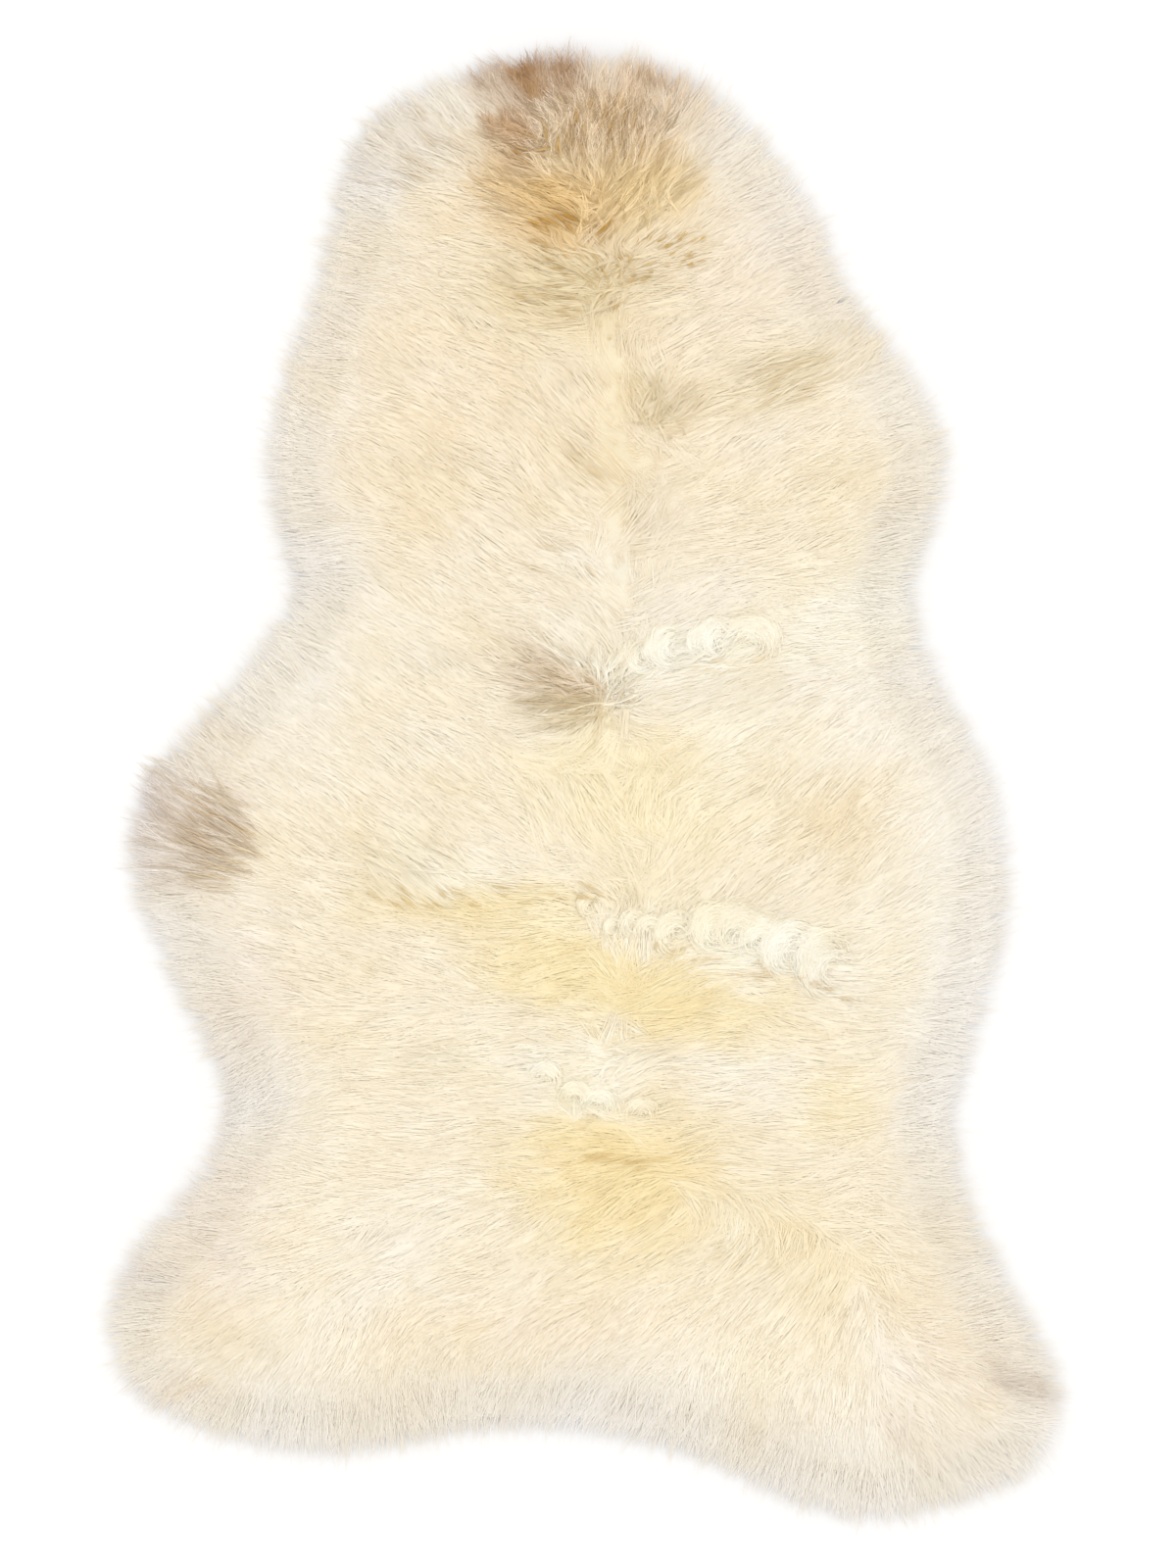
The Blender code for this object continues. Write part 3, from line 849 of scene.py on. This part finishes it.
def ribbon_points(paths, sides, width, shares, taper):
    """Two points at each station but the last, where a strand ends in one."""
    count, steps = paths.shape[:2]
    roll = draws.uniform(-STRAND_ROLL, STRAND_ROLL, (count, 1, 1))
    across = np.concatenate([sides * np.cos(roll), np.sin(roll) * np.ones((count, steps, 1))], axis=-1)
    narrowed = np.interp(shares, *zip(*taper))[None, :, None]
    half = 0.5 * width * MM * draws.uniform(*STRAND_WIDTHS, (count, 1, 1)) * narrowed
    pairs = np.stack([paths - across * half, paths + across * half], axis=2)
    return np.concatenate([pairs[:, :-1].reshape(count, -1, 3), paths[:, -1:]], axis=1)


def make_strands(name, paths, sides, colours, width, shares, taper=TAPER):
    """Flat tapering strands as one mesh, with a bake cell each. Their width is in mm."""
    count, steps = paths.shape[:2]
    points = ribbon_points(paths, sides, width, shares, taper)
    each = points.shape[1]
    quads = [(2 * i, 2 * i + 1, 2 * i + 3, 2 * i + 2) for i in range(steps - 2)]
    corners = np.concatenate([*quads, (each - 3, each - 2, each - 1)])
    sizes = np.tile([4] * len(quads) + [3], count)
    loops = (np.arange(count) * each)[:, None] + corners
    mesh = bpy.data.meshes.new(name)
    mesh.vertices.add(count * each)
    mesh.vertices.foreach_set("co", points.astype(np.float32).ravel())
    mesh.loops.add(loops.size)
    mesh.loops.foreach_set("vertex_index", loops.astype(np.int32).ravel())
    mesh.polygons.add(len(sizes))
    mesh.polygons.foreach_set("loop_start", (np.cumsum(sizes) - sizes).astype(np.int32))
    # Each strand has a small cell of the bake to itself, its root at the foot
    cells = math.ceil(math.sqrt(count))
    station = np.append(np.repeat(np.arange(steps - 1), 2), steps - 1)
    across = np.array(CELL_SIDES * (steps - 1) + [0.5])[corners]
    along = CELL_FOOT + CELL_LENGTH * np.array(shares)[station][corners]
    column, row = np.arange(count) % cells, np.arange(count) // cells
    cell_uv = np.stack([column[:, None] + across, row[:, None] + along], axis=-1) / cells
    mesh.uv_layers.new(name="OFBake").uv.foreach_set("vector", cell_uv.astype(np.float32).ravel())
    paint_points(mesh, colours[:, station].reshape(-1, 3))
    mesh.update(calc_edges=True)
    mesh.shade_smooth()
    mesh.materials.append(wool)
    return link(name, mesh)


def paint_points(mesh, colours):
    """Give each point of a mesh its tint."""
    shades = np.concatenate([colours, np.ones((len(colours), 1))], axis=1)
    mesh.color_attributes.new("tint", "FLOAT_COLOR", "POINT").data.foreach_set(
        "color", shades.astype(np.float32).ravel()
    )


def link(name, data):
    """A new object that holds a mesh, light or camera."""
    holder = bpy.data.objects.new(name, data)
    bpy.context.scene.collection.objects.link(holder)
    return holder


def comb_fleece(kind, length, middles, lock_middles):
    """Paths, sides and colours of strands that lie in locks of the fleece."""
    looks = wool_looks(lock_middles)
    locks = make_locks(lock_middles, length, LOCK_PITCH, looks.parted, looks.wave)
    lock = nearest_locks(middles, locks)
    paths, sides = comb(kind, lock, middles - locks["middles"][lock], locks)
    looks = wool_looks(paths[:, -2, :2])
    return paths, sides, shaded(looks.colours, looks.bare, paths, kind.shares, strand_warmth(lock, locks))


def grow_coat():
    """The main fleece, in bands from tail to neck."""
    middles = scatter(COAT_STRANDS, -1.0, 12 * MM)
    middles = middles[np.argsort(middles[:, 1])]
    paths, sides, colours = comb_fleece(COAT, COAT_LENGTH, middles, lattice_middles(-1.0))
    pieces = []
    for band in range(COAT_BANDS):
        part = slice(band * COAT_STRANDS // COAT_BANDS, (band + 1) * COAT_STRANDS // COAT_BANDS)
        pieces.append(make_strands(
            f"wool_coat_{band + 1}", paths[part], sides[part], colours[part], COAT.width, COAT.shares
        ))
    return pieces


def grow_rim():
    """Finer wool around the rim, which thins out to a soft haze."""
    middles = scatter(RIM_STRANDS, -4 * MM, 18 * MM)
    paths, sides, colours = comb_fleece(RIM, RIM_LENGTH, middles, lattice_middles(-12 * MM))
    return make_strands("wool_rim", paths, sides, colours, RIM.width, RIM.shares)


def contrasted(colours, contrast, mix):
    """Colours made lighter (mix 1) or deeper (mix -1)."""
    return colours * np.exp(contrast * mix[:, None] * np.array(CONTRAST_TINT))


def joined(parts):
    """The paths, sides and colours of several parts, each as one array."""
    return [np.concatenate(part) for part in zip(*parts)]


def grow_groups():
    """The locks that show singly, each lighter or deeper than the coat about it."""
    parts = []
    for _, x, y, length, width, turn, count, reach, girth, wave, contrast in GROUPS_MM:
        middles = oval_places(x, y, length, width, turn, count)
        middles = middles[distance_map.at(middles) < UNDERCOAT_OVERHANG]
        count = len(middles)
        parted = np.full(count, GROUP_PARTING)
        locks = make_locks(middles, reach * MM, GROUP_CROWN * girth * MM, parted, wave * MM)
        lock = np.repeat(np.arange(count), GROUP_STRANDS)
        paths, sides = comb(TOP, lock, disc_places(len(lock)) * 0.5 * girth * MM, locks)
        looks = wool_looks(paths[:, -3, :2])
        mix = draws.uniform(-1, LIGHTEST_MIX, count)[lock] + draws.normal(0, MIX_SPREAD, len(lock))
        colours = contrasted(looks.colours, contrast, np.clip(mix, -1, LIGHTEST_MIX))
        warmth = strand_warmth(lock, locks)
        parts.append((paths, sides, shaded(colours, looks.bare, paths, TOP.shares, warmth)))
    return make_strands("wool_locks", *joined(parts), TOP.width, TOP.shares)


def curl_rows():
    """Centre, radius, first angle and sweep of each curl."""
    for _, x1, y1, x2, y2, count, small, large, first, sweep in CURLS_MM:
        for share in np.linspace(0, 1, count):
            centre = np.array((x1, y1)) * (1 - share) + np.array((x2, y2)) * share
            centre = centre + draws.normal(0, CURL_SHIFT_MM, 2)
            radius = (small * (1 - share) + large * share) * draws.uniform(*CURL_SIZES)
            start = first + draws.normal(0, CURL_TURN)
            yield centre * MM, radius * MM, start, sweep * draws.uniform(*CURL_SWEEPS)


def grow_curls():
    """Soft curls: strands that wind about a centre, over a low dome whose edge sinks into the coat."""
    parts = []
    share = np.array(TOP.shares)[None, :]
    for centre, radius, start, sweep in curl_rows():
        count = int(CURL_STRANDS_EACH_MM * radius / MM)
        out = np.sqrt(draws.uniform(CURL_HEART, 1, (count, 1)))
        begin = start + draws.normal(0, CURL_STRAND_TURN, (count, 1))
        spoke = heading_vectors(begin + sweep * draws.uniform(*CURL_STRAND_SWEEPS, (count, 1)) * share)
        heart = centre + draws.normal(0, CURL_STRAND_SHIFT * radius, (count, 2))
        ripple = np.sin(CURL_RIPPLE_TURNS[0] * share + CURL_RIPPLE_TURNS[1] * out)
        narrowed = 1 - CURL_CLOSING * share + CURL_RIPPLE * ripple
        level = heart[:, None, :] + spoke * (out * narrowed * radius)[..., None]
        arch = np.sin(math.pi * (CURL_ARCH[0] + CURL_ARCH[1] * share))
        dome = CURL_DOME * (CURL_EDGE + np.sqrt(1 - out**2)) * arch
        height = bed_map.at(level) + CURL_RISE + dome + draws.normal(0, CURL_STRAND_LIFT, (count, 1))
        paths = raised(level, height)
        looks = wool_looks(level[:, len(TOP.shares) // 2])
        # Painted light and shade: rings of lighter and deeper colour between a curl's arcs
        mix = np.sin(CURL_SHADING_RINGS * out[:, 0] * radius) + draws.normal(0, CURL_SHADING_SPREAD, count)
        colours = contrasted(looks.colours, CURL_PAINTED_SHADING, mix)
        warmth = draws.normal(0, 1, count)
        parts.append((paths, spoke, shaded(colours, looks.bare, paths, TOP.shares, warmth)))
    return make_strands("wool_curls", *joined(parts), CURL_WIDTH_MM, TOP.shares)


def grow_creases():
    """Short dark strands down in the creases: painted crease shade."""
    rows = np.repeat(creases, np.ceil(creases[:, 5] / MARK_SPACING).astype(int), axis=0)
    count = len(rows)
    way = rows[:, None, 2:4]
    half, width, bend, depth, rise = (rows[:, column:column + 1] for column in range(4, 9))
    side = np.concatenate([-way[..., 1:], way[..., :1]], axis=-1)
    along = (2 * np.array(MARK_SHARES)[None, :] - 1) * half * draws.uniform(*MARK_LENGTHS, (count, 1))
    aside = bend * along**2 + draws.normal(0, MARK_SPREAD, (count, 1)) * width
    level = rows[:, None, :2] + way * along[..., None] + side * aside[..., None]
    paths = raised(level, bed_map.at(level) + rise + MARK_RISE)
    looks = wool_looks(rows[:, :2])
    colours = looks.colours + edge_shift(rows[:, :2], looks.bare)
    # Painted shade: the marks take the wool's colour, deepened by each crease's depth
    colours = np.clip(colours * (1 - depth * (1 - np.array(CREASE_SHADE_COLOUR))), 0, PALEST_BELOW)
    colours = np.repeat(colours[:, None, :], len(MARK_SHARES), axis=1)
    sides = np.repeat(side, len(MARK_SHARES), axis=1)
    return make_strands("wool_creases", paths, sides, colours, MARK_WIDTH_MM, MARK_SHARES, MARK_TAPER)


def inner_lattice(ring, pitch):
    """Staggered places inside a ring, kept clear of it."""
    places = staggered_places(pitch)
    return places[edge_distance(places, ring) < -LATTICE_MARGIN * pitch]


def triangulated(ring, inner):
    """Places and upward triangles that fill a ring, and which places lie along it."""
    count = len(ring)
    flat = [Vector(place) for place in np.concatenate([ring, inner])]
    sides = [(i, (i + 1) % count) for i in range(count)]
    places, _, faces, sources, _, _ = delaunay_2d_cdt(flat, sides, [], 1, 1e-7)
    spot = {source: i for i, merged in enumerate(sources) for source in merged}
    return np.array([place[:] for place in places]), faces, [spot[i] for i in range(count)]


def closed_slab(name, ring, top_of, pitch, floor, material):
    """A closed piece inside a ring, flat underneath, whose top is at top_of(places)."""
    upper, faces, rim = triangulated(ring, inner_lattice(ring, pitch))
    lower, under, foot = triangulated(ring, np.zeros((0, 2)))
    shift = len(upper)
    points = np.concatenate([raised(upper, top_of(upper)), raised(lower, floor)])
    under = [[corner + shift for corner in face[::-1]] for face in under]
    walls = [(foot[i - 1] + shift, foot[i] + shift, rim[i], rim[i - 1]) for i in range(len(ring))]
    mesh = bpy.data.meshes.new(name)
    mesh.from_pydata(points.tolist(), [], [*faces, *under, *walls])
    mesh.shade_smooth()
    mesh.materials.append(material)
    return link(name, mesh)


def pushed_out(ring, distance):
    """A ring that runs to the left, moved outwards."""
    ahead = unit(np.roll(ring, -1, axis=0) - np.roll(ring, 1, axis=0))
    return ring + np.stack([ahead[:, 1], -ahead[:, 0]], axis=1) * distance


def new_material(name):
    """A node material, its tree and its shader."""
    material = bpy.data.materials.new(name)
    material.use_nodes = True
    return material, material.node_tree, material.node_tree.nodes["Principled BSDF"]


def add_node(tree, kind, inputs=None, **settings):
    """A node with some of its inputs and properties set."""
    node = tree.nodes.new(kind)
    for name, value in settings.items():
        setattr(node, name, value)
    for name, value in (inputs or {}).items():
        node.inputs[name].default_value = value
    return node


def ranged(tree, source, low, high):
    """A value from 0 to 1 brought between two limits."""
    node = add_node(tree, "ShaderNodeMapRange", {"To Min": low, "To Max": high})
    tree.links.new(source, node.inputs["Value"])
    return node.outputs["Result"]


def add_noise(tree, inputs):
    """Noise in the object's own space."""
    place = add_node(tree, "ShaderNodeTexCoord")
    noise = add_node(tree, "ShaderNodeTexNoise", inputs)
    tree.links.new(place.outputs["Object"], noise.inputs["Vector"])
    return noise.outputs["Fac"]


def add_grain(tree, shader, scale, strength, depth, roughness):
    """Fine noise on the shader's normal and roughness."""
    grain = add_noise(tree, {"Scale": scale, "Detail": 4.0, "Roughness": 0.6})
    bump = add_node(tree, "ShaderNodeBump", {"Strength": strength, "Distance": depth})
    tree.links.new(grain, bump.inputs["Height"])
    tree.links.new(bump.outputs["Normal"], shader.inputs["Normal"])
    tree.links.new(ranged(tree, grain, *roughness), shader.inputs["Roughness"])
    return grain


def wool_material(name, scale, strength, depth, streak):
    """Wool: the mesh's own tint, broken up by noise, with a soft sheen."""
    material, tree, shader = new_material(name)
    grain = add_grain(tree, shader, scale, strength, depth, roughness=(0.62, 0.88))
    tint = add_node(tree, "ShaderNodeAttribute", attribute_name="tint")
    scaled = add_node(tree, "ShaderNodeVectorMath", operation="SCALE")
    tree.links.new(tint.outputs["Color"], scaled.inputs[0])
    tree.links.new(ranged(tree, grain, *streak), scaled.inputs["Scale"])
    tree.links.new(scaled.outputs["Vector"], shader.inputs["Base Color"])
    shader.inputs["Specular IOR Level"].default_value = 0.2
    shader.inputs["Sheen Weight"].default_value = 0.2
    shader.inputs["Sheen Roughness"].default_value = 0.5
    return material


def skin_material():
    """Tanned skin, suede side out."""
    material, tree, shader = new_material("suede skin")
    add_grain(tree, shader, scale=420.0, strength=0.35, depth=0.6 * MM, roughness=(0.75, 0.92))
    tones = add_node(tree, "ShaderNodeValToRGB")
    for element, (position, colour) in zip(tones.color_ramp.elements, SKIN_TONES):
        element.position = position
        element.color = (*linear(colour), 1)
    tree.links.new(add_noise(tree, {"Scale": 14.0, "Detail": 5.0}), tones.inputs["Fac"])
    tree.links.new(tones.outputs["Color"], shader.inputs["Base Color"])
    return material


def undercoat_tops(places):
    """The undercoat's height: it covers the feet of the coat, and sinks under the strands around the rim."""
    rise = UNDERCOAT_RISE * np.clip(-distance_map.at(places) / UNDERCOAT_FADE, -1, 1)
    return np.maximum(bed_map.at(places) + rise, UNDERCOAT_LOWEST_TOP)


def make_undercoat(outline):
    """The woolly bed under the strands, a closed piece with the wool's colours and painted shade deeper in
    from the rim.
    """
    overhang = UNDERCOAT_OVERHANG - notch_cuts(pushed_out(outline, UNDERCOAT_OVERHANG))
    ring = pushed_out(outline, np.maximum(overhang, LEAST_OVERHANG)[:, None])
    material = wool_material("undercoat", scale=260.0, strength=0.6, depth=1.5 * MM, streak=(0.93, 1.0))
    piece = closed_slab("undercoat", ring, undercoat_tops, UNDERCOAT_PITCH, UNDERCOAT_FLOOR, material)
    points = np.array([vert.co[:2] for vert in piece.data.vertices])
    looks = wool_looks(points)
    # Painted shade: the undercoat darkens in from the rim, where the strands above shade it
    depth = np.clip(-distance_map.at(points) / UNDERCOAT_FADE, 0, 1)[:, None]
    colours = looks.colours + edge_shift(points, looks.bare)
    colours = colours * (1 - depth * (1 - np.array(UNDERCOAT_PAINTED_SHADE)))
    paint_points(piece.data, np.clip(colours, 0, PALEST_BELOW))
    return piece


def make_stage():
    """A plain white floor, a large soft light overhead and a pale surround."""
    mesh = bpy.data.meshes.new("floor")
    corners = [(x * FLOOR_REACH, y * FLOOR_REACH, 0) for x, y in ((-1, -1), (1, -1), (1, 1), (-1, 1))]
    mesh.from_pydata(corners, [], [(0, 1, 2, 3)])
    material, _, shader = new_material("white floor")
    shader.inputs["Base Color"].default_value = FLOOR_COLOUR
    shader.inputs["Roughness"].default_value = 0.9
    mesh.materials.append(material)
    floor = link("floor", mesh)
    floor.location.z = -FLOOR_DROP
    world = bpy.data.worlds.new("surround")
    world.use_nodes = True
    world.node_tree.nodes["Background"].inputs["Color"].default_value = SKY_COLOUR
    bpy.context.scene.world = world
    light = bpy.data.lights.new("softbox", "SUN")
    light.angle = math.radians(SUN_DEGREES)
    light.energy = SUN_STRENGTH
    lamp = link("softbox", light)
    lamp.rotation_euler = Vector(SUN_DIRECTION).to_track_quat("Z", "Y").to_euler()
    bpy.context.scene.view_settings.view_transform = "Standard"


def make_camera():
    """Straight overhead, its long side along the spine."""
    camera = bpy.data.cameras.new("camera")
    camera.lens = LENS_MM
    camera.sensor_width = SENSOR_MM
    viewer = link("camera", camera)
    viewer.location = (*FRAME_CENTRE, FRAME_LEVEL + FRAME_HEIGHT * LENS_MM / SENSOR_MM)
    bpy.context.scene.camera = viewer


outline = skin_outline()
if enclosed_area(outline) < 0:
    outline = outline[::-1]
distances = edge_distance(map_places(), outline)
distance_map = FloorMap(distances)
bed_map = FloorMap(bed_heights(distances))
flow_map = FloorMap(flow_vectors(distances))
uneven_maps = (cloud(UNEVEN_SOFTENING), cloud(UNEVEN_SOFTENING))
mottle_maps = [cloud(times) for times in MOTTLE_SOFTENINGS]
phase_map = cloud(PHASE_SOFTENING)
creases = find_creases()
crease_map = FloorMap(crease_values(), CREASE_PITCH)

skin = closed_slab("skin", outline, lambda places: SKIN_THICKNESS, SKIN_PITCH, 0.0, skin_material())
wool = wool_material("wool", scale=900.0, strength=0.08, depth=0.3 * MM, streak=(0.99, 1.01))
undercoat = make_undercoat(outline)
woollies = [undercoat, *grow_coat(), grow_rim(), grow_groups(), grow_curls(), grow_creases()]

for piece in (skin, *woollies):
    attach(piece, "root")
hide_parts("sheepskin")
flat_area = float(enclosed_area(outline))

make_stage()
make_camera()
